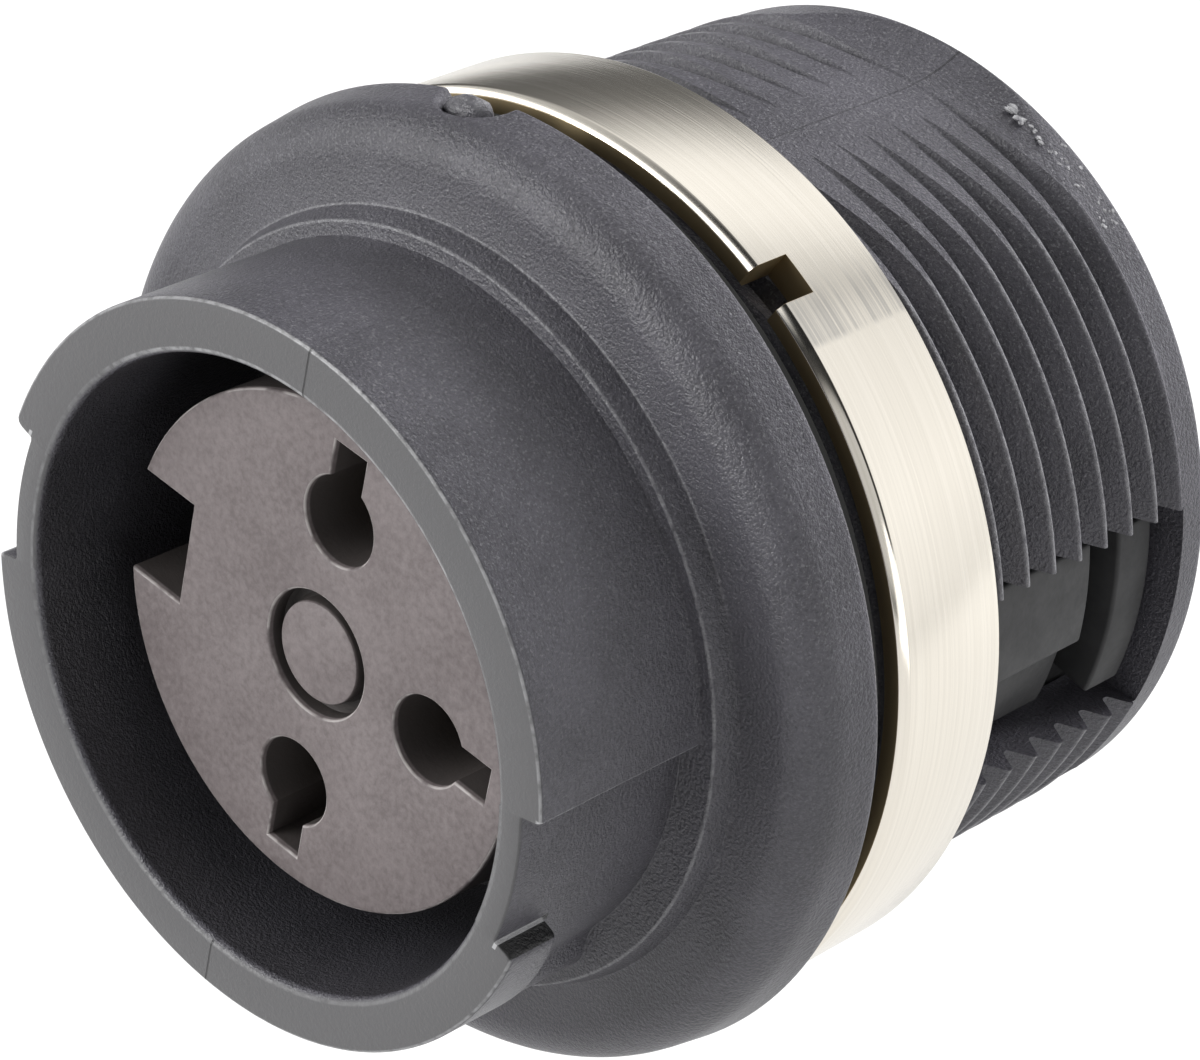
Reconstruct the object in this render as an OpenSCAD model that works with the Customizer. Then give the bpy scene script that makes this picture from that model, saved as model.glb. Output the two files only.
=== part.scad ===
// Panel-mount circular connector with a three-pole socket insert.
// A moulded shell carries a bayonet collar in front of its flange and a threaded barrel behind it.
// A seal and a ring nut clamp the flange to a panel. The insert with its socket contacts goes in
// from the rear and is held there by a sleeve that snaps into two windows in the barrel.
// Frame: millimetres. The axis lies along Y, the mating face looks towards -Y and Z is up.
// The origin is the centre of the flange's rear face, the face that seats on the panel.

/* [Collar] */
// Radius over the collar
collar_r = 9.3; // [8.6:0.1:10.5]
// Wall of the collar
collar_wall = 1.38; // [1:0.02:2]
// Length of the collar, from the rim to the boss
collar_len = 5.2; // [4:0.1:9]
// Rounding of the rim's two edges
rim_round = 0.16; // [0.05:0.01:0.4]
// Depth of the bayonet recesses in the collar's outside
bayonet_depth = 0.63; // [0.4:0.01:0.9]
// Angle of each bayonet entry
entry_angle = 24.4; // [16:0.2:36]
// Angle that each groove runs on behind its lug
lock_angle = 27; // [15:1:45]
// Thickness of each lug along the axis
lug_t = 1.55; // [1:0.05:2.5]

/* [Flange] */
// Overhang of the flange beyond the thread
flange_w = 1.34; // [1.2:0.02:4]
// Thickness of the flange
flange_t = 2; // [1.6:0.05:4]
// Draft of the flange's rim, in degrees from the axis
flange_draft = 8; // [0:0.5:15]
// Rounding of the flange's front edge
edge_round = 1.2; // [0.3:0.05:1.4]
// Step from the collar out to the boss that it stands on
boss_w = 0.4; // [0.2:0.05:0.6]
// Height of that boss
boss_h = 0.65; // [0.3:0.05:2]
// Angle of the moulding gate above the side
gate_angle = 104.8; // [20:0.2:160]
// Radius of the scallop round the gate
gate_r = 1.05; // [0.8:0.05:1.5]
// Depth of that scallop
gate_depth = 0.45; // [0.2:0.05:0.6]

/* [Barrel] */
// Outside diameter of the thread
thread_d = 22; // [21.5:0.1:24]
// Pitch of the thread
pitch = 1; // [0.75:0.05:1.5]
// Length of the barrel behind the flange
barrel_len = 14.1; // [12.5:0.05:24]
// Wall of the barrel under the thread
barrel_wall = 1.19; // [0.9:0.01:1.6]
// Length of the plain band at the barrel's end
band_len = 0.85; // [0.4:0.05:2]
// Width of each side window
window_w = 5.9; // [4:0.1:8]
// Length of each side window
window_l = 9; // [8:0.1:10.5]
// Angle of the first window above the side
window_angle = 3; // [-10:1:10]

/* [Panel fixing] */
// Thickness of the flange seal
seal_t = 0.9; // [0.5:0.1:2]
// Width of the flange seal
seal_w = 0.49; // [0.3:0.01:0.8]
// Gap between the seal and the ring nut, with no panel between them
nut_gap = 0.5; // [0.1:0.05:0.9]
// Wall of the ring nut outside the thread
nut_wall = 0.9; // [0.6:0.05:3]
// Length of the ring nut
nut_l = 3.55; // [3:0.05:6]
// Width of each spanner notch
notch_w = 1.1; // [0.8:0.05:2]
// Depth of each spanner notch along the axis
notch_l = 1.15; // [0.8:0.05:2]
// Angle of the first spanner notch above the side
notch_angle = 65.2; // [0:0.2:90]

/* [Insert] */
// Radius of the insert's front
insert_r = 6.55; // [6:0.05:7]
// Distance of the insert's face behind the rim
insert_back = 1.9; // [0.5:0.1:3]
// Radius of the circle that the contacts stand on
contact_circle_r = 3.86; // [3.6:0.02:4]
// Length of the block behind the insert's flange
block_l = 3.5; // [2:0.1:5]
// Width of the keyway
keyway_w = 2.9; // [2:0.1:3.5]
// Depth of the keyway from the insert's outside
keyway_d = 1.9; // [1:0.05:2.2]
// Length of the keyway behind the insert's face
keyway_l = 5; // [3:0.1:6]

/* [Contacts] */
// Outside radius of the socket contacts
contact_r = 1.04; // [0.9:0.02:1.1]
// Radius of their bore, which takes the plug's pin
pin_r = 0.8; // [0.5:0.02:0.85]
// Depth of that bore
pin_depth = 5; // [3:0.1:5.5]
// Distance of the contacts behind the insert's face
contact_back = 2.2; // [0.4:0.1:2.6]

/* [Hidden] */
$fn = 96;
eps = 0.05;
// Clearances: sliding pieces, threads and the snap-in arms
fit = 0.1;
thread_fit = 0.08;
arm_gap = 0.25;

// Stations along the axis, measured from the flange's rear face
flange_z = -flange_t;
boss_z = flange_z - boss_h;
rim_z = boss_z - collar_len;
band_z = barrel_len - band_len;
shoulder_z = band_z - 0.1;
window_z = band_z - window_l;
web_z0 = -1.2;
web_z1 = 0.5;
nut_z = seal_t + nut_gap;
face_z = rim_z + insert_back;
insert_flange_t = 2;
block_z = web_z1 + insert_flange_t;
rear_z = block_z + block_l;
sleeve_z = barrel_len - 0.45;

// Radii
socket_r = collar_r - collar_wall;
groove_r = collar_r - bayonet_depth;
boss_r = collar_r + boss_w;
thread_r = thread_d / 2;
flange_r = thread_r + flange_w;
seal_r = thread_r + fit + seal_w;
nut_r = thread_r + nut_wall;
thread_depth = 0.61 * pitch;
root_r = thread_r - thread_depth;
band_r = thread_r - 0.08;
barrel_bore_r = root_r - barrel_wall;
sleeve_r = barrel_bore_r - fit;
sleeve_wall = 0.9;

// Thread form: each ridge has a narrow crest and 60 degree flanks
crest_w = pitch / 8;
flank_w = thread_depth * tan(30);
thread_z = seal_t + 0.25;
ridges = floor((shoulder_z - thread_z - 2 * flank_w - crest_w) / pitch);
function ridge_points(k, r_fit, w_fit) = let (z = thread_z + k * pitch, h = crest_w / 2 + w_fit) [
    [root_r + r_fit, z - h - flank_w],
    [thread_r + r_fit, z - h],
    [thread_r + r_fit, z + h],
    [root_r + r_fit, z + h + flank_w]
];
function thread_points(n, r_fit, w_fit) = [for (k = [0:n], p = ridge_points(k, r_fit, w_fit)) p];

// Flange rim: its rounded edge touches the front face and the drafted side
corner_r = flange_r - flange_t * tan(flange_draft);
edge_c = [corner_r - edge_round * (1 - sin(flange_draft)) / cos(flange_draft), flange_z + edge_round];
edge_end = edge_c + edge_round * [cos(flange_draft), -sin(flange_draft)];
flat_at = root_r - 0.06;
run_out_l = 2.8;
gate_floor = flange_r - gate_depth;

// Contacts
hole_r = contact_r + fit;
contact_z = face_z + contact_back;
slot_w = 2 * contact_r - 1.04;
slot_z = face_z + 4.6;
slot_end = insert_r - 0.69;
shoulder_r = contact_r + 0.4;
shoulder_t = 0.6;
cup_r = contact_r + 0.12;
cup_bore_r = contact_r - 0.18;
cup_l = 3.6;
cup_z = rear_z + shoulder_t;

// Latch arms of the retainer, as angles above each window's centre line
arm_half = asin((window_w / 2 - arm_gap) / root_r);
arm_step = -1;
rib_low = -12;
rib_z = band_z - 1.9;
rib_l = 1.3;
pad_z = window_z + arm_gap;
pad_end = rib_z - 0.8;

// Lays a shape drawn round the Z axis along the connector's axis
module along() {
    rotate([-90, 0, 0]) children();
}

// Turns a shape on the X axis to an angle above the side, seen from the mating face
module at_angle(a) {
    rotate([0, 0, -a]) children();
}

// Part of a ring between two angles above the side
module sector(r0, r1, z0, z1, a0, a1) {
    at_angle(a1)
        rotate_extrude(angle = a1 - a0)
            translate([r0, z0]) square([r1 - r0, z1 - z0]);
}

// Ring with plain ends
module ring(r0, r1, z0, z1) {
    rotate_extrude() translate([r0, z0]) square([r1 - r0, z1 - z0]);
}

// Half section of the collar with its rounded rim
module collar_section() {
    translate([socket_r, rim_z + rim_round]) square([collar_wall, boss_z - rim_z]);
    translate([socket_r + rim_round, rim_z]) square([collar_wall - 2 * rim_round, 1]);
    for (r = [socket_r + rim_round, collar_r - rim_round])
        translate([r, rim_z + rim_round]) circle(r = rim_round);
}

// Half section of the boss and the flange
module flange_section() {
    polygon([
        [socket_r, boss_z],
        [boss_r - 0.1, boss_z],
        [boss_r, boss_z + 0.1],
        [boss_r + 0.2, flange_z],
        [edge_c[0], flange_z],
        edge_c,
        edge_end,
        [flange_r, -0.1],
        [flange_r - 0.1, 0],
        [socket_r, 0]
    ]);
    intersection() {
        translate(edge_c) circle(r = edge_round);
        translate([edge_c[0], flange_z]) square(edge_round);
    }
}

// Half section of the barrel with its thread
module barrel_section() {
    polygon(concat(
        [[barrel_bore_r, -eps], [root_r, -eps]],
        thread_points(ridges, 0, 0),
        [
            [root_r, shoulder_z - flank_w],
            [band_r, shoulder_z],
            [band_r, barrel_len - 0.08],
            [band_r - 0.08, barrel_len],
            [barrel_bore_r, barrel_len]
        ]
    ));
}

// Section of the cut for a mould flat, which runs out in a curve into the band at the barrel's end
module flat_section() {
    polygon(concat(
        [[thread_r + 1, eps], [flat_at, eps]],
        [for (k = [0:8]) [flat_at + (band_r - flat_at) * pow(k / 8, 3), barrel_len - run_out_l * (1 - k / 8)]],
        [[thread_r + 1, barrel_len]]
    ));
}

// Cuts that turn the collar's outside into two bayonet lugs
module bayonet_cuts() {
    for (a = [0, 180]) {
        sector(groove_r, collar_r + 1, rim_z - 1, rim_z + lug_t, a - entry_angle / 2, a + entry_angle / 2);
        sector(groove_r, collar_r + 1, rim_z + lug_t, boss_z, a - entry_angle / 2 - lock_angle, a + entry_angle / 2);
    }
}

// Moulded shell: collar, boss, flange, web and threaded barrel in one piece
module housing() {
    color([0.24, 0.24, 0.26])
        along() {
            difference() {
                union() {
                    rotate_extrude() {
                        collar_section();
                        flange_section();
                        barrel_section();
                    }
                    ring(insert_r + fit, barrel_bore_r + eps, web_z0, web_z1);
                }
                bayonet_cuts();
                for (a = [90, 270])
                    at_angle(a)
                        rotate([90, 0, 0]) linear_extrude(thread_d, center = true) flat_section();
                for (a = [window_angle, window_angle + 180])
                    at_angle(a)
                        translate([barrel_bore_r - 1, -window_w / 2, window_z]) cube([thread_r, window_w, window_l]);
                at_angle(gate_angle)
                    translate([gate_floor, 0, 0]) rotate([0, 90, 0]) cylinder(r = gate_r, h = 2);
            }
            at_angle(gate_angle)
                translate([gate_floor - 0.2, 0, -gate_r / 2]) rotate([0, 90, 0]) cylinder(r = gate_r * 0.48, h = 0.5);
        }
}

// Nickel-plated ring nut on the barrel's thread, with two spanner notches
module ring_nut() {
    color([0.8, 0.78, 0.72])
        along()
            difference() {
                rotate_extrude()
                    polygon([
                        [root_r - 1, nut_z],
                        [nut_r - 0.2, nut_z],
                        [nut_r, nut_z + 0.2],
                        [nut_r, nut_z + nut_l - 0.2],
                        [nut_r - 0.2, nut_z + nut_l],
                        [root_r - 1, nut_z + nut_l]
                    ]);
                rotate_extrude()
                    polygon(concat(
                        [[0, -1], [root_r + thread_fit, -1]],
                        thread_points(ridges, thread_fit, thread_fit / 2),
                        [[root_r + thread_fit, barrel_len + 1], [0, barrel_len + 1]]
                    ));
                translate([0, 0, nut_z - eps])
                    cylinder(r1 = thread_r + 0.3 + eps, r2 = root_r, h = thread_depth + 0.3 + eps);
                for (k = [0, 1])
                    at_angle(notch_angle + 180 * k)
                        translate([root_r - 1, -notch_w / 2, nut_z - 1]) cube([nut_r, notch_w, notch_l + 1]);
            }
}

// Flat rubber seal behind the flange
module flange_seal() {
    color([0.06, 0.06, 0.06])
        along() ring(thread_r + fit, seal_r, 0, seal_t);
}

// Where each contact stands, with its slot pointing outwards
module at_contact(a) {
    at_angle(a) translate([contact_circle_r, 0, 0]) children();
}

// Moulded insert: front face with three socket holes and a keyway, rear flange and block
module contact_insert() {
    color([0.3, 0.28, 0.27])
        along() {
            difference() {
                rotate_extrude()
                    polygon([
                        [0, face_z],
                        [insert_r - 0.12, face_z],
                        [insert_r, face_z + 0.12],
                        [insert_r, web_z1],
                        [sleeve_r, web_z1],
                        [sleeve_r, block_z],
                        [sleeve_r - sleeve_wall - 0.6, block_z],
                        [sleeve_r - sleeve_wall - 0.6, rear_z],
                        [0, rear_z]
                    ]);
                for (a = [90, 0, 270])
                    at_contact(a) {
                        translate([0, 0, face_z - 1]) cylinder(r = hole_r, h = slot_z - face_z + 1);
                        translate([0, 0, slot_z - 1]) cylinder(r = contact_r + 0.02, h = rear_z - slot_z + 2);
                        translate([0, -slot_w / 2, face_z - 1])
                            cube([slot_end - contact_circle_r, slot_w, slot_z - face_z + 1]);
                    }
                at_angle(180)
                    translate([insert_r - keyway_d, -keyway_w / 2, face_z - 1]) cube([insert_r, keyway_w, keyway_l + 1]);
                translate([0, 0, face_z - 1]) cylinder(r = insert_r / 4, h = 1.6);
            }
            translate([0, 0, face_z + 0.1]) cylinder(r = insert_r / 5, h = 0.6);
        }
}

// Snap-in sleeve behind the insert, with a stepped latch arm in each window
module insert_retainer() {
    color([0.2, 0.2, 0.21])
        along() {
            difference() {
                ring(sleeve_r - sleeve_wall, sleeve_r, block_z, sleeve_z);
                for (a = [window_angle, window_angle + 180])
                    for (side = [-1, 1])
                        at_angle(a + side * (arm_half + 2))
                            translate([sleeve_r - 2, -0.25, pad_z + 1]) cube([4, 0.5, barrel_len]);
            }
            for (a = [window_angle, window_angle + 180]) {
                sector(sleeve_r - 0.2, root_r - 0.7, pad_z, pad_end, a - arm_half, a + arm_half);
                sector(sleeve_r, root_r - 0.15, pad_z + 0.1, pad_end - 0.1, a + arm_step, a + arm_half - 0.5);
                sector(sleeve_r - 0.2, root_r, rib_z, rib_z + rib_l, a + rib_low, a + arm_half);
            }
        }
}

// Turned socket contact: socket in front with a locking lance beside it, shoulder and solder cup behind
module contact() {
    difference() {
        union() {
            translate([0, 0, contact_z]) cylinder(r = contact_r, h = rear_z - contact_z);
            translate([0, 0, rear_z]) cylinder(r = shoulder_r, h = shoulder_t);
            translate([0, 0, cup_z - eps]) cylinder(r = cup_r, h = cup_l + eps);
            rotate([90, 0, 0])
                translate([0, 0, -0.35])
                    linear_extrude(0.7)
                        polygon([
                            [contact_r - 0.15, contact_z + 0.6],
                            [contact_r + 0.7, slot_z - 0.4],
                            [contact_r + 0.7, slot_z - fit],
                            [contact_r + 0.5, slot_z - fit],
                            [contact_r - 0.15, contact_z + 1.4]
                        ]);
        }
        translate([0, 0, contact_z - 1]) cylinder(r = pin_r, h = pin_depth + 1);
        translate([0, 0, contact_z - eps]) cylinder(r1 = pin_r + 0.14, r2 = pin_r, h = 0.2);
        translate([0, 0, cup_z + 0.5]) cylinder(r = cup_bore_r, h = cup_l);
        translate([-4, -2, cup_z + cup_l / 2]) cube([4, 4, cup_l]);
    }
}

// Contact in the upper hole
module contact_top() {
    color([0.75, 0.68, 0.5]) along() at_contact(90) contact();
}

// Contact in the side hole
module contact_side() {
    color([0.75, 0.68, 0.5]) along() at_contact(0) contact();
}

// Contact in the lower hole
module contact_bottom() {
    color([0.75, 0.68, 0.5]) along() at_contact(270) contact();
}

housing();
ring_nut();
flange_seal();
contact_insert();
insert_retainer();
contact_top();
contact_side();
contact_bottom();
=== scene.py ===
import math
import random

import bmesh
import bpy
from mathutils import Matrix, Vector


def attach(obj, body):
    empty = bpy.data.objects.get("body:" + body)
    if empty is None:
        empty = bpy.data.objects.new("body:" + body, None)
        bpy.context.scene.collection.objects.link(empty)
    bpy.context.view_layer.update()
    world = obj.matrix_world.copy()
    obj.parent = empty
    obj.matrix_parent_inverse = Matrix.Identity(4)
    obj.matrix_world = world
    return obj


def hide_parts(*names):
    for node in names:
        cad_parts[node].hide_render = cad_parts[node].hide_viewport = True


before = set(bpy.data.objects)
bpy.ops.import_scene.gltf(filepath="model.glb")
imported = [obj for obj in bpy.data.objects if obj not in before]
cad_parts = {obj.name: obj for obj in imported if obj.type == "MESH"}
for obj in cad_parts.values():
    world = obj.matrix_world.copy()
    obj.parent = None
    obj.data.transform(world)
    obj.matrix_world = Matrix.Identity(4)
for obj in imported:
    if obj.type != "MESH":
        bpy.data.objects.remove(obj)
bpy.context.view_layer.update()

# Shell of the connector: collar, flange and threaded barrel, moulded in one piece from glass-filled
# anthracite plastic. The mould is spark-eroded, so its faces are finely grained, and it parts in the
# plane of the axis, where the thread runs out in two flats.
rim_y, boss_y, flange_y, shoulder_y, barrel_y = -7.85, -2.65, -2.0, 13.15, 14.1
socket_r, collar_r, bayonet_depth = 7.92, 9.3, 0.63
collar_wall = collar_r - socket_r
rim_in, rim_out = 0.22, 0.09
entry_half, lock_end, lug_t, lug_ramp = 12.2, -39.2, 1.52, 0.42
boss_r, foot_r, web_r, web_y = 9.63, 9.9, 6.65, (-1.2, 0.5)
flange_r, edge_r, edge_c, edge_draft = 12.34, 1.2, (11.016, -0.8), 352
edge_end_r, edge_end_y = 12.204, -0.967
gate_angle, gate_r, gate_floor = 104.8, 1.05, 11.89
root_r, crest_r, band_r, bore_r, pitch = 10.39, 11.0, 10.92, 9.2, 1.0
flat_z, flat_bow, flat_blend, flat_run = 10.37, 0.022, 0.42, 2.8
thread_start, thread_top, thread_turns = 0.13, 13.5, 15
window_angle, window_half, window_y, window_floor = 3, 2.95, (4.25, 13.25), 9


def between(x, stops):
    """Value at x on the broken line through the stops."""
    if x <= stops[0][0]:
        return stops[0][1]
    for (x0, v0), (x1, v1) in zip(stops, stops[1:]):
        if x <= x1:
            return v0 + (v1 - v0) * (x - x0) / (x1 - x0)
    return stops[-1][1]


def corner(centre, radius, start, end, steps):
    """Points of a rounded corner in a half section, each a radius and a station along the axis."""
    turns = [math.radians(start + (end - start) * k / steps) for k in range(steps + 1)]
    return [(centre[0] + radius * math.cos(t), centre[1] + radius * math.sin(t)) for t in turns]


def revolve(section, steps, lead=0.0, closed=False):
    """Spins a half section round the axis, counted upwards from the side as seen from the front."""
    bm = bmesh.new()
    verts = [bm.verts.new((r, y, 0)) for r, y in section]
    edges = [bm.edges.new(pair) for pair in zip(verts, verts[1:] + verts[:1] * closed)]
    bmesh.ops.spin(
        bm, geom=verts + edges, cent=(0, 0, 0), axis=(0, -1, 0), angle=math.tau,
        dvec=(0, -lead / steps, 0), steps=steps, use_merge=not lead)
    bmesh.ops.remove_doubles(bm, verts=bm.verts, dist=2e-5)
    return bm


def join(bm, part):
    """Adds a finished part to a mesh."""
    mesh = bpy.data.meshes.new("part")
    part.to_mesh(mesh)
    part.free()
    bm.from_mesh(mesh)
    bpy.data.meshes.remove(mesh)


def polar(co):
    """Radius, angle above the side and station of a point."""
    return math.hypot(co.x, co.z), math.degrees(math.atan2(co.z, co.x)) % 360, co.y


def put(v, r, a, y):
    """Places a vertex by radius, angle and station."""
    v.co = (r * math.cos(math.radians(a)), y, r * math.sin(math.radians(a)))


# Stations round the axis: close together at the ends of the lugs and round the moulding gate
steps_near_wall = (0.05, 0.15, 0.35, 0.7, 1.4, 2.4)
walls = [180 * k + d for k in (0, 1) for d in (entry_half, -entry_half, lock_end)]
close = {round((w + side * d) % 360, 3) for w in walls for d in steps_near_wall for side in (-1, 1)}
close |= {round(gate_angle + 0.35 * k, 3) for k in range(-22, 23)}
stations = sorted(close | {
    1.5 * k for k in range(240)
    if all(abs((1.5 * k - c + 180) % 360 - 180) > 0.4 for c in close)})
count = len(stations)

# Half section from the barrel's band through its bore, round the collar and the flange to the thread's foot
collar_steps = (0.5, 0.9, 1.2, 1.38, 1.47, 1.51, 1.53, 1.57, 1.66, 1.8, 2.2, 2.8, 3.6, 4.4, 4.9)
draft_steps = (-0.85, -0.7, -0.55, -0.4, -0.25, -0.1)
half_section = (
    [(band_r, shoulder_y + 0.12 * k) for k in range(8)]
    + [(band_r - 0.03, barrel_y - 0.03), (band_r - 0.1, barrel_y)]
    + [(bore_r + 0.1, barrel_y), (bore_r, barrel_y - 0.1), (bore_r, web_y[1]), (web_r, web_y[1])]
    + [(web_r, web_y[0]), (socket_r, web_y[0])]
    + corner((socket_r + rim_in, rim_y + rim_in), rim_in, 180, 270, 5)
    + corner((collar_r - rim_out, rim_y + rim_out), rim_out, 270, 360, 4)
    + [(collar_r, rim_y + s) for s in collar_steps]
    + [(collar_r, boss_y - 0.07), (collar_r + 0.02, boss_y - 0.02), (collar_r + 0.07, boss_y)]
    + corner((boss_r, boss_y + 0.07), 0.07, 270, 340, 3)
    + [(foot_r - 0.04, flange_y - 0.12), (foot_r, flange_y - 0.03), (foot_r + 0.09, flange_y)]
    + corner(edge_c, edge_r, 270, edge_draft, 14)
    + [(between(y, [(edge_end_y, edge_end_r), (-0.1, flange_r)]), y) for y in draft_steps]
    + [(flange_r - 0.03, -0.03), (flange_r - 0.1, 0), (gate_floor, 0), (root_r, 0)])
thread_turn = [
    (root_r, 0), (root_r + 0.005, 0.06), (root_r + 0.05, 0.114), (crest_r - 0.07, 0.397),
    (crest_r - 0.02, 0.44), (crest_r, 0.5), (crest_r - 0.02, 0.56), (crest_r - 0.07, 0.603),
    (root_r + 0.05, 0.886), (root_r + 0.005, 0.94), (root_r, 1.0)]

# How high the lugs stand across the end walls of an entry, and along the axis behind a lug
wall_edge = [(-0.7, 0), (-0.35, 0.02), (-0.15, 0.06), (-0.05, 0.12),
             (0.05, 0.84), (0.15, 0.92), (0.35, 0.98), (0.7, 1)]
lug_end = [(-0.7, 0), (-0.15, 0.05), (-0.05, 0.1), (0.05, 0.72),
           (0.15, 0.82), (0.35, 0.91), (0.7, 0.97), (1.4, 1)]
lock_wall = [(-7, 0), (-5, 0.06), (-3, 0.3), (-1, 0.7), (1, 0.94), (3, 1)]
lug_back = [(-0.14, 1), (-0.05, 0.95), (-0.01, 0.85), (0.01, 0.12), (0.05, 0.04), (0.14, 0)]


def collar_point(r, a, y):
    """Cuts the two bayonet entries and their locking grooves into the collar's outside."""
    if y > boss_y + 1e-6 or r < socket_r + 1e-6 or r > collar_r + 0.08:
        return r, y
    d, s = (a + 90) % 180 - 90, y - rim_y
    ramp = between(-d, [(entry_half, 0), (28, 1), (40, 1), (60, 0)])
    shift = lug_ramp * ramp * between(s, [(0.5, 0), (1.38, 1), (1.8, 1), (3.6, 0)])
    behind = between(s - lug_t, lug_back)
    end = max(between(d - entry_half, wall_edge), between(-entry_half - d, lug_end))
    lock = max(between(d - entry_half, wall_edge), between(lock_end - d, lock_wall))
    height = end * (1 - (1 - lock) * (1 - behind))
    return r - bayonet_depth * (1 - height) * (r - socket_r) / collar_wall, y + shift


def flange_point(r, a, y):
    """Sinks the half-round recess of the moulding gate into the flange's side."""
    if r <= gate_floor or y < -1.5 or y > 0.01:
        return r
    reach = math.hypot(y, math.radians(a - gate_angle) * gate_floor)
    return r - (r - gate_floor) * between(reach, [(gate_r - 0.1, 1), (gate_r, 0.15), (gate_r + 0.1, 0)])


def thread_point(r, y):
    """Runs the thread out at the flange and into the band at the barrel's end."""
    if y <= 0:
        return root_r, 0
    if y >= shoulder_y:
        return band_r, shoulder_y
    r = root_r + (r - root_r) * between(y, [(0.4, 0), (0.8, 1)])
    return max(r, between(y, [(shoulder_y - 0.35, root_r), (shoulder_y, band_r)])), y


def level_flat(bm, side):
    """Levels a slightly bowed mould flat along the barrel, above or below, that runs out into the band."""
    def height(co):
        rise = max(0, 1 + (co.y - barrel_y) / flat_run) ** 3
        flat = flat_z + (band_r - flat_z) * rise - flat_bow * co.x ** 2
        crest = math.sqrt(crest_r ** 2 - co.x ** 2)
        blend = flat_blend * (1 - rise) + 0.01
        return side * (min(flat, crest) - max(blend - abs(flat - crest), 0) ** 2 / (4 * blend))

    verts = {v for v in bm.verts if v.co.z * side > 9 and v.co.y > 0.05}
    for v in verts:
        v.co.z -= height(v.co)
    faces = [f for f in bm.faces if verts.issuperset(f.verts)]
    edges = {e for f in faces for e in f.edges}
    cut = bmesh.ops.bisect_plane(
        bm, geom=faces + list(edges) + list(verts), dist=1e-5, plane_co=(0, 0, 0), plane_no=(0, 0, side))
    verts |= {g for g in cut["geom_cut"] if isinstance(g, bmesh.types.BMVert)}
    for v in verts:
        v.co.z = side * min(0, side * v.co.z) + height(v.co)


def cut_through(bm, angle, half, low, high, floor):
    """Cuts a straight-sided opening through a wall outside a floor radius, and closes the cut faces."""
    out = Vector((math.cos(math.radians(angle)), 0, math.sin(math.radians(angle))))
    across = Vector((-out.z, 0, out.x))
    planes = [(across, half), (across, -half)]
    planes += [(Vector((0, 1, 0)), y) for y in (low, high) if y is not None]

    def near(co, spare):
        return (co.dot(out) > 0 and math.hypot(co.x, co.z) > floor and abs(co.dot(across)) < half + spare
                and (low is None or co.y > low - spare) and (high is None or co.y < high + spare))

    for normal, at in planes:
        faces = [f for f in bm.faces if near(f.calc_center_median(), 1.2)]
        geom = faces + list({e for f in faces for e in f.edges}) + list({v for f in faces for v in f.verts})
        bmesh.ops.bisect_plane(bm, geom=geom, dist=1e-5, plane_co=normal * at, plane_no=normal)
    inside = [f for f in bm.faces if near(f.calc_center_median(), 0)]
    bmesh.ops.delete(bm, geom=inside, context="FACES")
    rim = [e for e in bm.edges if e.is_boundary and all(near(v.co, 0.01) for v in e.verts)]
    verts = {v for e in rim for v in e.verts}

    def on(v, plane):
        return abs(v.co.dot(plane[0]) - plane[1]) < 1e-3

    for side in planes[:2]:
        for end in planes[2:]:
            ends = [v for v in verts if on(v, side) and on(v, end)]
            if len(ends) == 2:
                rim.append(bm.edges.new(ends))
    for plane in planes:
        wall = [e for e in rim if all(on(v, plane) for v in e.verts)]
        bmesh.ops.edgeloop_fill(bm, edges=wall)


def piece(bm, name, body, slot, *nodes, sharp=38):
    """Makes a mesh in millimetres a piece of the object, in metres; edges past an angle stay sharp."""
    bmesh.ops.recalc_face_normals(bm, faces=bm.faces)
    bmesh.ops.scale(bm, vec=(0.001, 0.001, 0.001), verts=bm.verts)
    for f in bm.faces:
        f.smooth = True
    mesh = bpy.data.meshes.new(name)
    bm.to_mesh(mesh)
    bm.free()
    mesh.set_sharp_from_angle(angle=math.radians(sharp))
    obj = bpy.data.objects.new(name, mesh)
    bpy.context.scene.collection.objects.link(obj)
    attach(obj, body)
    if nodes:
        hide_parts(*nodes)
    return obj


bm = revolve(half_section, count)
for v in bm.verts:
    r, a, y = polar(v.co)
    a = stations[round(a * count / 360) % count]
    r, y = collar_point(r, a, y)
    put(v, flange_point(r, a, y), a, y)
thread = revolve([(r, y + thread_start + thread_top) for r, y in thread_turn], count, lead=pitch)
turn = thread.verts[:] + thread.edges[:] + thread.faces[:]
for k in range(1, thread_turns):
    made = bmesh.ops.duplicate(thread, geom=turn)["geom"]
    bmesh.ops.translate(
        thread, vec=(0, -k * pitch, 0), verts=[g for g in made if isinstance(g, bmesh.types.BMVert)])
for v in thread.verts:
    r, a, y = polar(v.co)
    k = round(a * count / 360)
    a = stations[k % count]
    r, y = thread_point(r, y + pitch * (k * 360 / count % 360 - a) / 360)
    put(v, r, a, y)
join(bm, thread)
bmesh.ops.remove_doubles(bm, verts=bm.verts, dist=1e-4)
bmesh.ops.dissolve_degenerate(bm, edges=bm.edges, dist=1e-5)
for side in (1, -1):
    level_flat(bm, side)
for angle in (window_angle, window_angle + 180):
    cut_through(bm, angle, window_half, *window_y, window_floor)

# Stub of the moulding gate, torn off by hand, and the scuffed patch on the band
stub_y, stub_size = -0.22, (0.42, 0.45, 0.72)
scuff_angle, scuff_y = 78.5, (13.3, 13.95)
torn_glint_layer = bm.verts.layers.float.new("torn")


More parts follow.
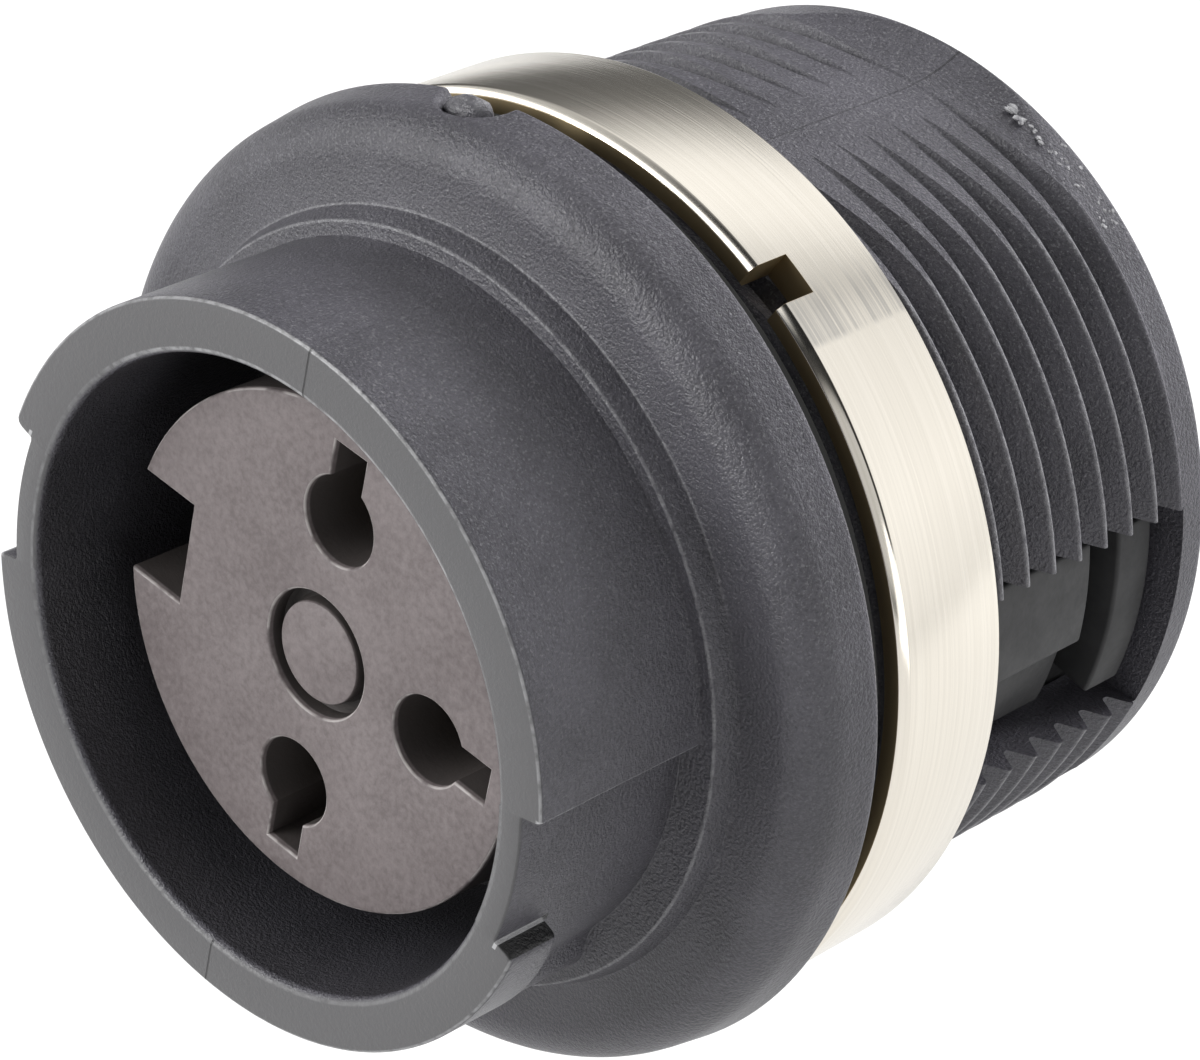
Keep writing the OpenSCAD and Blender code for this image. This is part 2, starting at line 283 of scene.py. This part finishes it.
def lump(angle, r, y, size, rough, detail, pale):
    """Sets a rough lump on the shell, mottled with painted glints, with its radial, axial and cross sizes.
    """
    made = bmesh.ops.create_icosphere(bm, subdivisions=detail, radius=1)["verts"]
    for k, v in enumerate(made):
        v[torn_glint_layer] = pale * (0.5 + 0.5 * math.sin(11.7 * k + angle))
        swell = 1 + rough * math.sin(7.3 * k + 3.1 * angle)
        v.co = (v.co.x * size[0] * swell, v.co.y * size[1] * swell, v.co.z * size[2] * swell)
    bmesh.ops.translate(bm, vec=(r, y, 0), verts=made)
    bmesh.ops.rotate(bm, cent=(0, 0, 0), matrix=Matrix.Rotation(math.radians(-angle), 3, "Y"), verts=made)


lump(gate_angle + 1.2, gate_floor + 0.02, stub_y, stub_size, 0.05, 3, 0.22)
scuff = random.Random(4)
for k in range(64):
    size = scuff.uniform(0.05, 0.1) if k > 9 else scuff.uniform(0.11, 0.17)
    angle = scuff_angle - (scuff.uniform(0, 22) if k > 9 else scuff.uniform(0, 5))
    sits = between(angle, [(70, 10.9), (80, 10.78)])
    lump(angle, sits, scuff.uniform(*scuff_y), (size * 0.4, size, size), 0.3, 1, 1.0)
housing = piece(bm, "shell_moulding", "shell", "shell_plastic", "housing")


class Field:
    """A value over a surface: a node's output that Python's operators carry on from."""

    def __init__(self, tree, out):
        self.tree, self.out = tree, out

    def node(self, kind, settings, inputs, out=0):
        """Adds a node: its settings, or a ramp's stops, then the values or links of its sockets."""
        made = self.tree.nodes.new("ShaderNode" + kind)
        for name, value in settings.items():
            if name == "stops":
                ramp = made.color_ramp.elements
                while len(ramp) < len(value):
                    ramp.new(1)
                for element, (at, colour) in zip(ramp, value):
                    element.position, element.color = at, colour
            else:
                setattr(made, name, value)
        for name, value in inputs.items():
            if isinstance(value, Field):
                self.tree.links.new(value.out, made.inputs[name])
            else:
                made.inputs[name].default_value = value
        return Field(self.tree, made.outputs[out])

    def math(self, operation, *values):
        return self.node("Math", {"operation": operation}, dict(enumerate(values)))

    def __add__(self, other):
        return self.math("ADD", self, other)

    def __sub__(self, other):
        return self.math("SUBTRACT", self, other)

    def __rsub__(self, other):
        return self.math("SUBTRACT", other, self)

    def __mul__(self, other):
        return self.math("MULTIPLY", self, other)

    def __abs__(self):
        return self.math("ABSOLUTE", self)

    __radd__, __rmul__ = __add__, __mul__

    def most(self, other):
        """The larger of two values."""
        return self.math("MAXIMUM", self, other)

    def split(self):
        """The three parts of a vector."""
        parts = self.node("SeparateXYZ", {}, {0: self}).out.node.outputs
        return [Field(self.tree, part) for part in parts]

    def millimetres(self):
        """The three parts of a place, in the millimetres of the sizes."""
        return [part * 1000 for part in self.split()]

    def dot(self, direction):
        """How far a vector points along a direction."""
        return self.node("VectorMath", {"operation": "DOT_PRODUCT"}, {0: self, 1: direction}, "Value")

    def fade(self, low, high):
        """0 below low, 1 above high, and smooth between."""
        return self.node("MapRange", {"interpolation_type": "SMOOTHSTEP"}, {0: self, 1: low, 2: high})

    def band(self, rise, fall):
        """1 between a rise and a fall, each given by its two ends, and 0 beyond them."""
        return self.fade(*rise) * (1 - self.fade(*fall))

    def tint(self, first, second):
        """A colour between two, by this value."""
        return self.node("Mix", {"data_type": "RGBA"}, {0: self, 6: first, 7: second}, 2)

    def noise(self, scale, detail=2.0, roughness=0.5):
        """Noise at a place, with features of about one over the scale."""
        sockets = {"Vector": self, "Scale": scale, "Detail": detail, "Roughness": roughness}
        return self.node("TexNoise", {}, sockets)

    def bump(self, distance, strength=1.0):
        """A surface normal from a height."""
        return self.node("Bump", {}, {"Height": self, "Distance": distance, "Strength": strength})


def finish(name, **sockets):
    """A material with the sockets that are the same all over it, its shader and the place on the object."""
    material = bpy.data.materials.new(name)
    material.use_nodes = True
    tree = material.node_tree
    shader = tree.nodes["Principled BSDF"]
    for socket, value in sockets.items():
        shader.inputs[socket.replace("_", " ")].default_value = value
    place = Field(tree, tree.nodes.new("ShaderNodeTexCoord").outputs["Object"])
    return material, shader, place


def dress(obj, material, shader, **fields):
    """Links what varies over the surface to the shader, and gives the piece the material."""
    for socket, field in fields.items():
        field.tree.links.new(field.out, shader.inputs[socket.replace("_", " ")])
    obj.data.materials.clear()
    obj.data.materials.append(material)


shell_dark, shell_light = (0.045, 0.0435, 0.0515, 1), (0.088, 0.085, 0.1, 1)
# The rim's colour, painted lighter for the sheen of its smooth face, and the parting line's own dark
shell_painted_rim_sheen, shell_seam = (0.096, 0.095, 0.098, 1), (0.02, 0.02, 0.021, 1)
# Colours of the painted highlights and of the painted shade inside
shell_painted_highlight, shell_painted_shade = (0.4, 0.4, 0.41, 1), (0.009, 0.009, 0.0095, 1)
shell, shader, place = finish("spark_eroded_plastic", IOR=1.52)
x, y, z = place.millimetres()
radius = x.node("CombineXYZ", {}, {0: x, 1: 0.0, 2: z})
radius = radius.node("VectorMath", {"operation": "LENGTH"}, {0: radius}, "Value")
grain = place.noise(10500, 2, 0.7)
cloud = place.noise(420, 3, 0.55)

# The polished rim, smoother and painted lighter for the sheen of its face, the mould's parting line, which
# shows most on the rim and the band, and painted shade inside the bore
rim_polish_and_sheen = 1 - y.fade(rim_y + 0.02, rim_y + 0.09)
seam = y.fade(4, 6) * 0.25 + y.fade(shoulder_y - 0.65, shoulder_y + 0.35) * 0.3
seam = (0.15 + rim_polish_and_sheen * 0.65 + seam) * (1 - abs(x).fade(0.012, 0.04))
# Painted shade inside the bore, from just behind the rim's rounding
painted_shade = (1 - radius.fade(socket_r - 0.02, socket_r + 0.02)) * y.fade(rim_y + 0.05, rim_y + 0.25)

# Painted highlights, in patches, where edges catch the light, most towards the top: the rim's two, the
# thread's crests, the entries' ledges, the boss's edge and its foot. The quarter round the axis tells an
# entry's two sides apart.
ledge_z, wall_z = 1.98, 1.9
quarter = x * z
inner = (1 - abs(radius - (socket_r + 0.14)).fade(0.02, 0.07)) * (0.3 + z.fade(4, 6.8))
outer = radius.band((collar_r - 0.09, collar_r - 0.05), (collar_r - 0.02, collar_r))
rim = (inner + outer) * (1 - y.fade(rim_y + 0.03, rim_y + 0.11))
crest = radius.fade(crest_r - 0.06, crest_r) * y.band((0.4, 0.8), (shoulder_y - 0.45, shoulder_y - 0.15))
ledge = (1 - abs(abs(z) - ledge_z).fade(0.03, 0.07)) * (1 - y.fade(boss_y - 0.15, boss_y - 0.05))
ledge = ledge * radius.band((collar_r - 0.2, collar_r - 0.1), (collar_r + 0.03, collar_r + 0.08))
ledge = ledge * quarter.fade(0, 5)
boss = radius.band((boss_r - 0.01, boss_r + 0.01), (boss_r + 0.06, boss_r + 0.08))
boss = boss * (1 - y.fade(boss_y + 0.05, boss_y + 0.09))
foot = radius.band((foot_r - 0.02, foot_r), (foot_r + 0.03, foot_r + 0.06)) * z.fade(4, 8)
foot = foot * y.band((flange_y - 0.3, flange_y - 0.1), (flange_y + 0.2, flange_y + 0.3))
edge_highlight = rim + crest * 0.5 + ledge * 1.5 + boss * 0.5 + foot * 0.5
edge_highlight = edge_highlight * place.noise(4000, 3).fade(0.2, 0.65) * 0.6

# The lugs' end walls, painted with shade as dark as inside the bore, each with a painted highlight along
# its foot
beside = abs(abs(z) - wall_z).fade(0.1, 0.12) + quarter.fade(-5, 0) + y.fade(rim_y + 1.75, rim_y + 1.85)
above = radius.fade(collar_r - 0.04, collar_r - 0.02) + (1 - radius.fade(collar_r - 0.8, collar_r - 0.6))
lug_wall = 1 - (beside + above).fade(0, 0.4)
edge_highlight = edge_highlight + lug_wall * (1 - abs(radius - (collar_r - 0.56)).fade(0.03, 0.06)) * 2
painted_shade = painted_shade.most(lug_wall * y.fade(rim_y + 0.01, rim_y + 0.05))

# Painted glints on the torn plastic, painted glitter in the grain, more of it towards the top, and what the
# surface makes of it all
torn = place.node("Attribute", {"attribute_name": "torn"}, {}, "Fac")
painted_glitter = place.noise(15000, 1).fade(0.56, 0.73) * (1 - painted_shade) * (1 - rim_polish_and_sheen) * (0.08 + z.fade(2, 9) * 0.14)
bright = edge_highlight + torn + painted_glitter
colour = (cloud * 0.4 + grain * 0.6).fade(0.3, 0.7).tint(shell_dark, shell_light)
colour = painted_shade.tint(rim_polish_and_sheen.tint(colour, shell_painted_rim_sheen), shell_painted_shade)
colour = seam.tint(bright.math("MINIMUM", bright, 1.0).tint(colour, shell_painted_highlight), shell_seam)
height = (grain + cloud * 0.3) * (1 - rim_polish_and_sheen * 0.7) - seam * 0.5
rough = 0.24 + grain * 0.22 - torn.fade(0.0, 0.08) * 0.2
dress(housing, shell, shader, Base_Color=colour, Roughness=rough, Normal=height.bump(0.00006, 0.9))

# Flat ring of black rubber that seals the flange to the panel. It is moulded, lies loose behind the
# flange, and the nut presses the panel against its rear face.
seal_in, seal_out, seal_t, seal_edge = 11.1, 11.59, 0.9, 0.12
rubber_black, rubber_dusty = (0.006, 0.006, 0.006, 1), (0.016, 0.016, 0.015, 1)
bm = revolve(
    corner((seal_in + seal_edge, seal_edge), seal_edge, 180, 270, 3)
    + corner((seal_out - seal_edge, seal_edge), seal_edge, 270, 360, 3)
    + corner((seal_out - seal_edge, seal_t - seal_edge), seal_edge, 0, 90, 3)
    + corner((seal_in + seal_edge, seal_t - seal_edge), seal_edge, 90, 180, 3), 180, closed=True)
seal = piece(bm, "panel_seal", "shell", "seal_rubber", "flange_seal")
rubber, shader, place = finish("black_rubber", Specular_IOR_Level=0.3)
dust = place.noise(2600, 3)
dress(seal, rubber, shader, Base_Color=dust.tint(rubber_black, rubber_dusty),
      Roughness=0.6 + dust * 0.25, Normal=dust.bump(0.00002, 0.5))

# Ring nut, turned from brass and nickel plated, on the barrel's thread. Its outside is finely turned, its
# front chamfer is polished, and two notches in the front take the spanner.
nut_in, nut_out, nut_front, nut_back = 11.05, 11.9, 1.4, 4.95
notch_angle, notch_half, notch_y, notch_floor = 65.2, 0.55, 2.55, 10
nickel_dull, nickel_bright = (0.82, 0.77, 0.68, 1), (0.91, 0.86, 0.77, 1)
# Grey of a painted dark reflection, and brass-brown painted for the dark bronze reflection in the front
nickel_painted_streak, painted_bronze_reflection = (0.42, 0.41, 0.39, 1), (0.42, 0.33, 0.19, 1)
bm = revolve([
    (nut_in, nut_front + 0.25), (nut_in + 0.25, nut_front), (nut_out - 0.21, nut_front),
    (nut_out - 0.19, nut_front + 0.005), (nut_out - 0.17, nut_front + 0.02),
    (nut_out - 0.03, nut_front + 0.16), (nut_out - 0.01, nut_front + 0.19), (nut_out, nut_front + 0.23),
    (nut_out, nut_back - 0.16), (nut_out - 0.01, nut_back - 0.12), (nut_out - 0.12, nut_back - 0.01),
    (nut_out - 0.16, nut_back), (nut_in + 0.2, nut_back), (nut_in, nut_back - 0.2)], 288, closed=True)
for k in (0, 1):
    cut_through(bm, notch_angle + 180 * k, notch_half, None, notch_y, notch_floor)
nut = piece(bm, "ring_nut_turned", "nut", "nickel_plated_brass", "ring_nut", sharp=30)
nickel, shader, place = finish("turned_nickel", Metallic=1.0)
x, y, z = place.millimetres()
turn = z.math("ARCTAN2", z, x)
lines = y.node("CombineXYZ", {}, {0: turn * 0.35, 1: y * 9, 2: 0.0}).noise(1.0, 4, 0.65)
fine = y.node("CombineXYZ", {}, {0: turn * 2.0, 1: y * 26, 2: 3.0}).noise(1.0, 2, 0.5)
marks = lines * 0.65 + fine * 0.35
side = y.fade(nut_front + 0.18, nut_front + 0.24)
notch_cos, notch_sin = math.cos(math.radians(notch_angle)), math.sin(math.radians(notch_angle))
notch = 1 - abs(z * notch_cos - x * notch_sin).fade(notch_half + 0.002, notch_half + 0.01)
notch = notch * (1 - y.fade(notch_y + 0.002, notch_y + 0.01))
# The front face and the notches: rougher, and painted brass-brown for the dark bronze reflection they show
front_and_notches = notch.most(1 - y.fade(nut_front + 0.002, nut_front + 0.01))
# Painted dark streak beside the notch, standing in for a dark reflection in the nickel
painted_streak = turn.band((0.98, 1.0), (1.05, 1.15)) * lines.fade(0.35, 0.62) * 0.7
plating = painted_streak.tint(marks.fade(0.3, 0.7).tint(nickel_dull, nickel_bright), nickel_painted_streak)
rough = 0.13 + side * (0.03 + marks * 0.07) + front_and_notches * 0.35
dress(nut, nickel, shader, Base_Color=front_and_notches.tint(plating, painted_bronze_reflection), Roughness=rough,
      Normal=(marks * side).bump(0.00002, 0.5))

# Insert, moulded in a brown-grey plastic: a plug with three keyed socket holes, a keyway and a round
# recess with a raised disc, and behind it the flange and the block that carry the contacts.
face_y, rear_y, insert_r, plug_depth = -5.95, 6.0, 6.55, 5.0
hole_angles, hole_r, hole_depth, circle_r = (90, 0, 270), 1.14, 4.6, 3.86
slot_half, slot_reach, keyway_half, keyway_floor, soft_edge = 0.52, 2.0, 1.45, 4.65, 0.07
recess_r, recess_depth, disc_r = 1.64, 0.6, 1.31
stop_r, stop_y, block_r = 9.1, (0.5, 2.5), 7.6
brown_dark, brown_light = (0.118, 0.098, 0.098, 1), (0.196, 0.17, 0.17, 1)
# Painted shade for the walls behind the face, and a painted highlight for its edges
brown_painted_shade, brown_painted_highlight = (0.045, 0.038, 0.036, 1), (0.42, 0.39, 0.38, 1)


def keyed_hole(angle, spread):
    """Outline of a socket hole with its slot outwards, made wider by a spread."""
    r, h = hole_r + spread, slot_half + spread
    mouth = math.asin(h / r)
    bow = [mouth + (math.tau - 2 * mouth) * k / 36 for k in range(37)]
    points = [(circle_r + r * math.cos(t), r * math.sin(t)) for t in bow]
    reach = circle_r + slot_reach + spread
    points += [(reach, -h), (reach, -h / 3), (reach, h / 3), (reach, h)]
    c, s = math.cos(math.radians(angle)), math.sin(math.radians(angle))
    return [(px * c - pz * s, px * s + pz * c) for px, pz in points]


def keyed_disc(spread):
    """Outline of the insert with its keyway on the left, made smaller by a spread."""
    r, h, floor = insert_r - spread, keyway_half + spread, keyway_floor - spread
    mouth = math.asin(h / r)
    rim = [math.pi + mouth + (math.tau - 2 * mouth) * k / 120 for k in range(121)]
    points = [(r * math.cos(t), r * math.sin(t)) for t in rim]
    return points + [(-floor, h), (-floor, h / 3), (-floor, -h / 3), (-floor, -h)]


def disc(r):
    """Outline of a round step."""
    return [(r * math.cos(math.tau * k / 64), r * math.sin(math.tau * k / 64)) for k in range(64)]


def loop(bm, outline, y):
    """A closed loop of edges at a station."""
    verts = [bm.verts.new((px, y, pz)) for px, pz in outline]
    return verts, [bm.edges.new(pair) for pair in zip(verts, verts[1:] + verts[:1])]


def run_on(bm, start, levels):
    """Carries a loop on through further outlines, each at its station, and gives the last loop."""
    verts, edges = start
    for outline, y in levels:
        grown = bmesh.ops.extrude_edge_only(bm, edges=edges)["geom"]
        old = {tuple(v.co): k for k, v in enumerate(verts)}
        fresh = [None] * len(verts)
        for g in grown:
            if isinstance(g, bmesh.types.BMVert):
                fresh[old[tuple(g.co)]] = g
        for v, (px, pz) in zip(fresh, outline):
            v.co = (px, y, pz)
        verts = fresh
        edges = [bm.edges.get(pair) for pair in zip(verts, verts[1:] + verts[:1])]
    return verts, edges


def soft_mouth(outline):
    """The steps of a rounded edge at the face, from an outline that takes its spread."""
    steps = ((0.7, 0.1), (0.25, 0.4), (0.0, 1.0))
    return [(outline(soft_edge * s), face_y + soft_edge * t) for s, t in steps]


bm = bmesh.new()
plug = loop(bm, keyed_disc(soft_edge), face_y)
holes = [loop(bm, keyed_hole(a, soft_edge), face_y) for a in hole_angles]
recess = loop(bm, disc(recess_r + soft_edge), face_y)
bmesh.ops.triangle_fill(bm, use_beauty=True, edges=[e for part in (plug, recess, *holes) for e in part[1]])
for a, hole in zip(hole_angles, holes):
    mouth = soft_mouth(lambda spread: keyed_hole(a, spread))
    end = run_on(bm, hole, mouth + [(keyed_hole(a, 0), face_y + hole_depth)])
    bmesh.ops.edgeloop_fill(bm, edges=end[1])
low_y = face_y + recess_depth
end = run_on(bm, recess, soft_mouth(lambda spread: disc(recess_r + spread)) + [
    (disc(recess_r), low_y - 0.08), (disc(recess_r - 0.08), low_y), (disc(disc_r + 0.08), low_y),
    (disc(disc_r), low_y - 0.08), (disc(disc_r), face_y + 0.2), (disc(disc_r - 0.03), face_y + 0.12),
    (disc(disc_r - 0.11), face_y + 0.09)])
bmesh.ops.edgeloop_fill(bm, edges=end[1])
end = run_on(bm, plug, soft_mouth(keyed_disc) + [(keyed_disc(0), face_y + plug_depth)])
bmesh.ops.edgeloop_fill(bm, edges=end[1])
block = [
    (0.0, face_y + plug_depth), (insert_r, face_y + plug_depth), (insert_r, stop_y[0]),
    (stop_r - 0.1, stop_y[0]), (stop_r, stop_y[0] + 0.1), (stop_r, stop_y[1] - 0.1),
    (stop_r - 0.1, stop_y[1]), (block_r, stop_y[1]), (block_r, rear_y - 0.1), (block_r - 0.1, rear_y),
    (0.0, rear_y)]
join(bm, revolve(block, 128))
insert = piece(bm, "socket_insert", "shell", "insert_plastic", "contact_insert", sharp=35)
brown, shader, place = finish("matt_brown_plastic", IOR=1.5)
y = place.millimetres()[1]
grain = place.noise(5200, 3, 0.65)
cloud = place.noise(600, 4, 0.6)
# Painted highlights, in patches, along the rounded edges of the face
edge_highlight = y.band((face_y + 0.002, face_y + 0.02), (face_y + 0.04, face_y + 0.09))
edge_highlight = edge_highlight * place.noise(1800, 2).fade(0.35, 0.6)
colour = (cloud * 0.35 + grain * 0.65).fade(0.3, 0.7).tint(brown_dark, brown_light)
# Painted shade on the walls behind the face: in the holes, the keyway and the recess
colour = y.fade(face_y + 0.13, face_y + 0.2).tint(colour, brown_painted_shade)
dress(insert, brown, shader, Base_Color=edge_highlight.tint(colour, brown_painted_highlight),
      Roughness=0.5 + grain * 0.2, Normal=(grain + cloud * 0.5).bump(0.00003, 0.6))

# Retainer sleeve behind the insert, moulded in black plastic. It is pushed in from the rear, and its
# two latch arms spring out into the barrel's windows.
sleeve_in, sleeve_out, sleeve_front, sleeve_back = 8.2, 9.1, 2.52, 13.65
arm, pad, hook = (8.9, 9.69, 4.5, 10.55), (9.1, 10.24, 4.6, 10.45), (8.9, 10.39, 11.35, 12.65)
arm_half, pad_low, hook_low = 15.06, 1, 12
black_deep, black_light = (0.027, 0.027, 0.028, 1), (0.043, 0.043, 0.044, 1)
bm = revolve([
    (sleeve_in, sleeve_front + 0.1), (sleeve_in + 0.1, sleeve_front), (sleeve_out - 0.1, sleeve_front),
    (sleeve_out, sleeve_front + 0.1), (sleeve_out, sleeve_back - 0.1), (sleeve_out - 0.1, sleeve_back),
    (sleeve_in + 0.1, sleeve_back), (sleeve_in, sleeve_back - 0.1)], 160, closed=True)


def arm_step(r0, r1, y0, y1, a0, a1, soft):
    """A step of a latch arm: a section swept round the axis between two angles, with rounded edges."""
    step = bmesh.new()
    verts = [step.verts.new((r, y, 0)) for r, y in ((r0, y0), (r1, y0), (r1, y1), (r0, y1))]
    face = step.faces.new(verts)
    start = Matrix.Rotation(math.radians(-a0), 3, "Y")
    bmesh.ops.rotate(step, cent=(0, 0, 0), matrix=start, verts=step.verts)
    bmesh.ops.spin(step, geom=[face] + list(face.edges) + verts, cent=(0, 0, 0), axis=(0, -1, 0),
                   angle=math.radians(a1 - a0), steps=16)
    bmesh.ops.remove_doubles(step, verts=step.verts, dist=1e-5)
    bmesh.ops.recalc_face_normals(step, faces=step.faces)
    edges = [e for e in step.edges if len(e.link_faces) == 2 and e.calc_face_angle() > 0.7]
    bmesh.ops.bevel(step, geom=edges, offset=soft, offset_type="OFFSET", segments=3, profile=0.5,
                    affect="EDGES", material=-1, clamp_overlap=True)
    join(bm, step)


for angle in (window_angle, window_angle + 180):
    arm_step(*arm, angle - arm_half, angle + arm_half, 0.12)
    arm_step(*pad, angle - pad_low, angle + arm_half - 0.5, 0.1)
    arm_step(*hook, angle - hook_low, angle + arm_half, 0.1)
retainer = piece(bm, "retainer_sleeve", "shell", "retainer_plastic", "insert_retainer", sharp=35)
smooth, shader, place = finish("smooth_black_plastic", Specular_IOR_Level=0.3)
cloud = place.noise(900, 4, 0.6)
grain = place.noise(6000, 2, 0.5)
dress(retainer, smooth, shader, Base_Color=cloud.fade(0.3, 0.7).tint(black_deep, black_light),
      Roughness=0.45 + grain * 0.16, Normal=(grain + cloud).bump(0.00001, 0.4))

# Socket contacts, turned from brass and plated: a bore in front for the plug's pin and a solder cup behind.
# They are pushed into the insert's block from the rear and keep the shape of the solids.
plating_dull, plating_bright = (0.36, 0.3, 0.2, 1), (0.5, 0.43, 0.3, 1)
plated, shader, place = finish("dull_plated_brass", Metallic=1.0)
cloud = place.noise(1500, 3)
colour = cloud.fade(0.3, 0.7).tint(plating_dull, plating_bright)
rough = 0.3 + cloud * 0.25
height = cloud.bump(0.00001, 0.4)
for name in ("contact_top", "contact_side", "contact_bottom"):
    dress(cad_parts[name], plated, shader, Base_Color=colour, Roughness=rough, Normal=height)

# Studio: a pale floor well below the part, which the camera sees almost white and the nickel grey, and
# three soft boxes: in front on the left, broad behind and above, and weak on the right.
floor_size, floor_z = 1.5, -0.03


def grey(level):
    """A grey of a level."""
    return level, level, level, 1


bm = bmesh.new()
bmesh.ops.create_grid(
    bm, x_segments=1, y_segments=1, size=floor_size, matrix=Matrix.Translation((0, 0, floor_z)))
floor_mesh = bpy.data.meshes.new("floor")
bm.to_mesh(floor_mesh)
bm.free()
floor = bpy.data.objects.new("floor", floor_mesh)
bpy.context.scene.collection.objects.link(floor)
paper, shader, place = finish("white_paper", Roughness=0.9, Specular_IOR_Level=0.1, Emission_Strength=1)
rays = paper.node_tree.nodes.new("ShaderNodeLightPath")
seen = Field(paper.node_tree, rays.outputs["Is Camera Ray"])
seen = seen.most(Field(paper.node_tree, rays.outputs["Is Transmission Ray"]))
gloss = Field(paper.node_tree, rays.outputs["Is Glossy Ray"])
pulp = place.noise(3, 2).tint(grey(0.44), grey(0.46))
mirrored = place.split()[0].fade(-0.3, -0.08).tint(grey(0.1), grey(0.6))
dress(floor, paper, shader, Base_Color=seen.most(gloss).tint(pulp, grey(0.2)),
      Emission_Color=seen.tint(gloss.tint(grey(0), mirrored), grey(0.8)))


def lamp(name, location, size, watts, glossy=True):
    """A square soft box that looks at the part."""
    light = bpy.data.lights.new(name, "AREA")
    light.shape, light.size, light.energy = "SQUARE", size, watts
    obj = bpy.data.objects.new(name, light)
    obj.location = location
    obj.rotation_euler = Vector(location).to_track_quat("Z", "Y").to_euler()
    obj.visible_glossy = glossy
    bpy.context.scene.collection.objects.link(obj)


lamp("front", (-0.2, -0.36, 0.09), 0.2, 1.4)
lamp("top", (0.0, 0.43, 0.19), 0.4, 6.2, glossy=False)
lamp("right", (0.4, -0.14, 0.0), 0.3, 0.4)

# What the part sees round it: the white walls of a tent, behind it with two darker gaps between the panels,
# and in front open and dark round the lens, with a strip light above and a card beside the lens.
panels = [
    (-180, 0.28), (-135, 0.45), (-97, 0.7), (-45, 0.78), (-15, 0.86), (25, 1.1), (53, 1.0), (69, 0.95),
    (74, 0.9), (77, 0.65), (85, 0.68), (91, 0.85), (97, 1.03), (105, 1.14), (122, 1.1), (137, 0.52),
    (149, 0.16), (165, 0.12)]
to_lens, to_card, across_strip = (0.504, -0.654, 0.565), (0.6, -0.72, 0.35), (0.0, 0.712, 0.702)
world = bpy.data.worlds.new("tent")
bpy.context.scene.world = world
world.use_nodes = True
tree = world.node_tree
look = Field(tree, tree.nodes.new("ShaderNodeTexCoord").outputs["Generated"])
x, y, z = look.split()
bearing = z.math("ARCTAN2", z, x) * (0.5 / math.pi) + 0.5
stops = [((degrees + 180) / 360, grey(level)) for degrees, level in panels]
behind = bearing.node("ValToRGB", {"stops": stops}, {0: bearing})
wall = x.fade(0.2, 0.9).tint(grey(0.5), grey(1))
before = look.dot(to_lens).fade(0.3, 0.8).tint(wall, grey(0.03))
before = look.dot(to_card).fade(0.93, 0.97).tint(before, grey(0.6))
strip = (1 - abs(look.dot(across_strip)).fade(0.05, 0.15)) * (1 - x.fade(-0.05, 0.25))
before = strip.tint(before, grey(3))
tent = y.fade(-0.1, 0.15).tint(before, behind)
rays = tree.nodes.new("ShaderNodeLightPath")
seen = Field(tree, rays.outputs["Is Camera Ray"]).most(Field(tree, rays.outputs["Is Transmission Ray"]))
tree.links.new(seen.tint(tent, grey(1)).out, tree.nodes["Background"].inputs["Color"])

# Camera: the photograph's view, from the front, the right and above, rolled by the part's turn in it.
camera = bpy.data.cameras.new("camera")
camera.lens, camera.sensor_width, camera.sensor_fit = 132.5, 36, "HORIZONTAL"
camera.clip_start, camera.clip_end = 0.005, 10
eye = bpy.data.objects.new("camera", camera)
eye_place = Matrix.Translation((0.05556, -0.06834, 0.0622))
right, up = Vector((0.70117, 0.69124, 0.17482)), Vector((-0.50456, 0.30780, 0.80665))
back = Vector((0.50379, -0.65380, 0.56459))
eye.matrix_world = eye_place @ Matrix((right, up, back)).transposed().to_4x4()
bpy.context.scene.collection.objects.link(eye)
bpy.context.scene.camera = eye
bpy.context.scene.view_settings.view_transform = "Standard"
